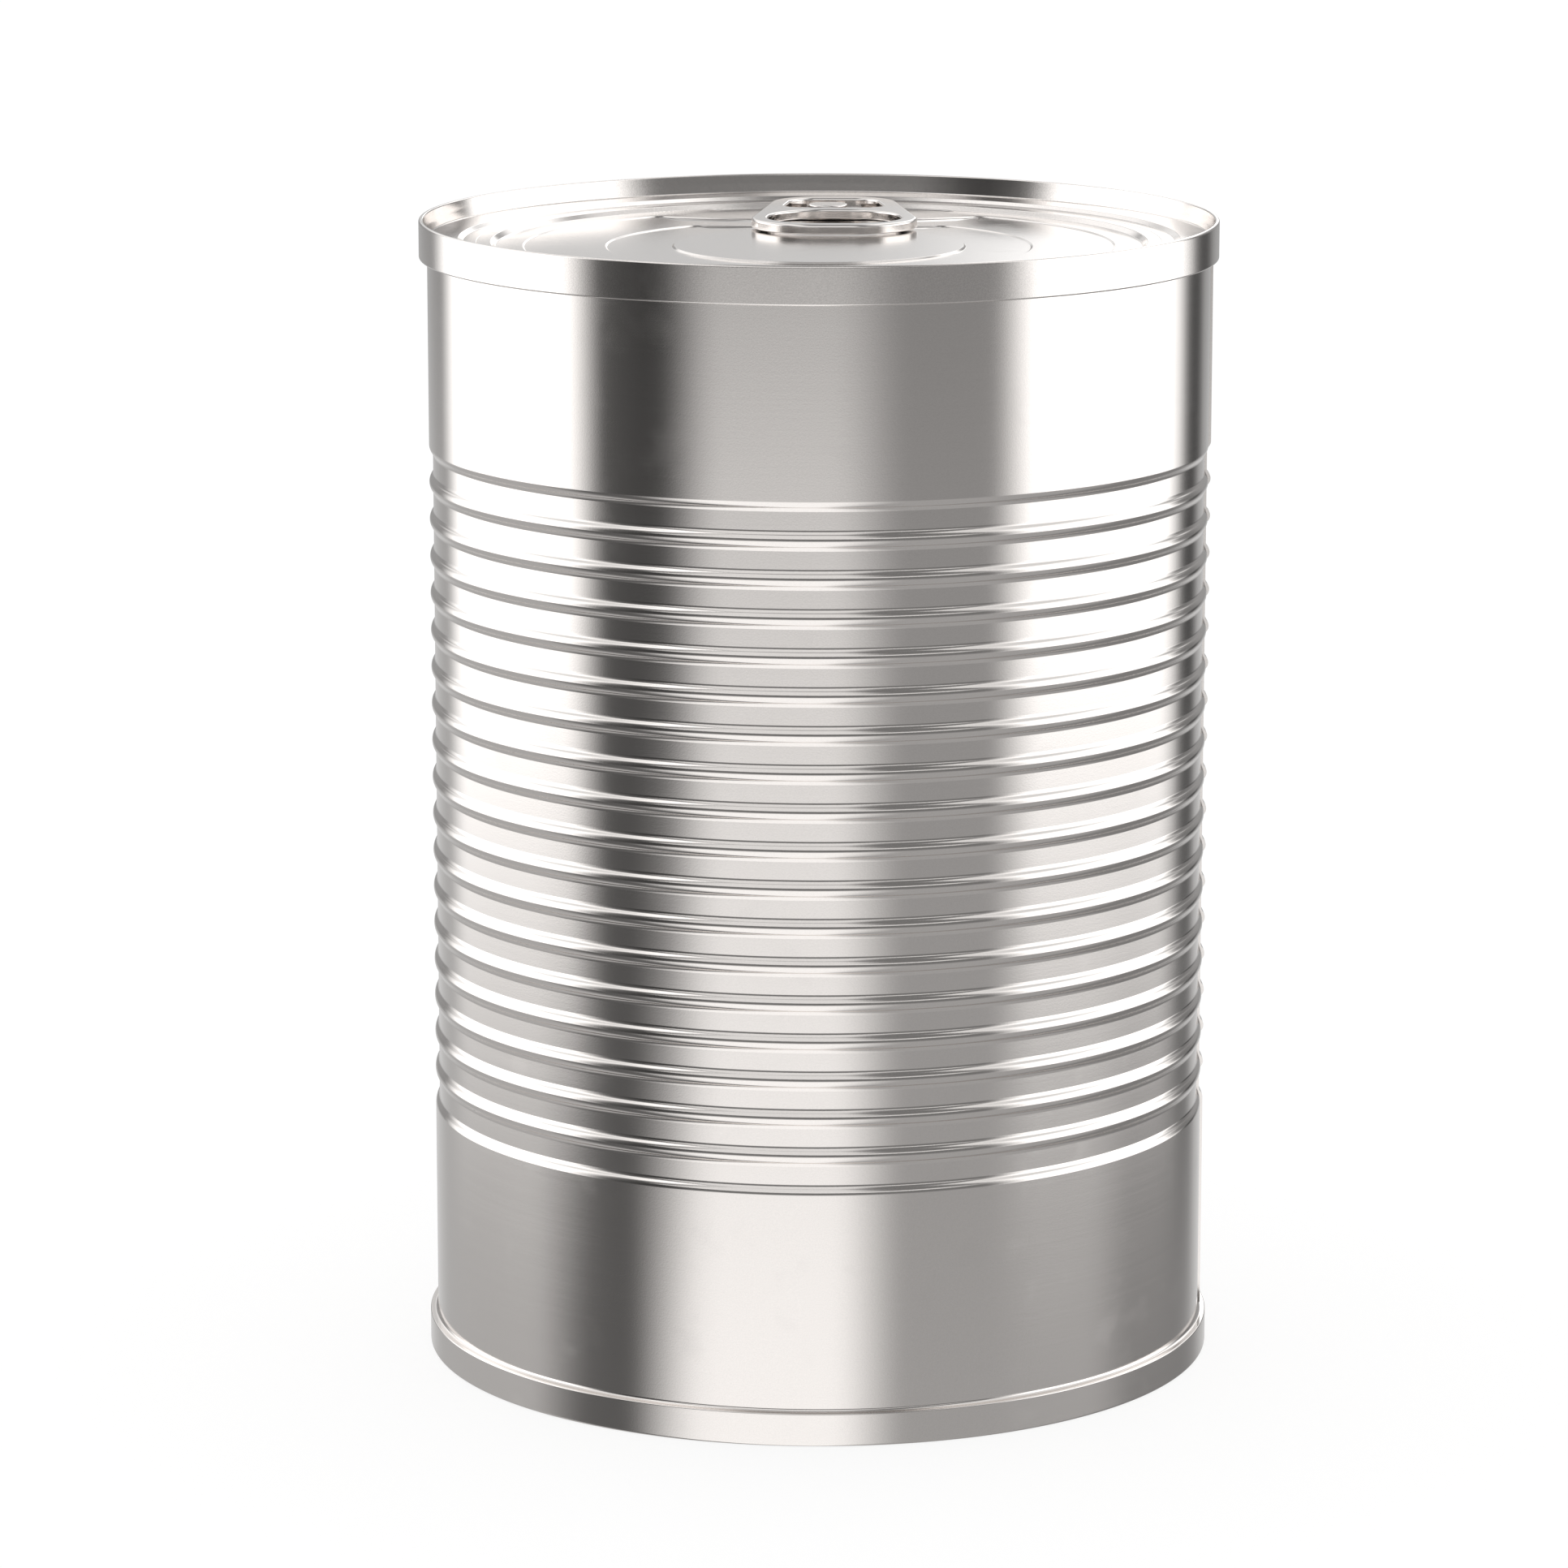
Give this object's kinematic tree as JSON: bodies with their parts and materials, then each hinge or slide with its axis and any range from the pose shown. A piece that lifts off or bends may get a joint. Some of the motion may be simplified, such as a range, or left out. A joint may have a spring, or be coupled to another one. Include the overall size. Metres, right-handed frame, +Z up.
{
  "type": "food can",
  "caption": "Shut steel food can with a beaded body, lapped side seam, double-seamed ends and a ring-pull tab on its recessed easy-open lid.",
  "frame": {"origin": "centre of the base, on the plane the bottom seam stands on", "axes": "+Z up the can's axis; -Y is the front, the way the finger end of the pull tab points; +X is the side with the side seam"},
  "size_m": [0.076, 0.076, 0.11],
  "materials": {
    "can_body": "satin tinplate",
    "top_end": "satin tinplate",
    "pull_tab": "satin tinplate",
    "bottom_end": "satin tinplate"
  },
  "bodies": {
    "root": {"can_body": "can_body", "top_end": "top_end", "pull_tab": "pull_tab", "bottom_end": "bottom_end"}
  },
  "joints": []
}
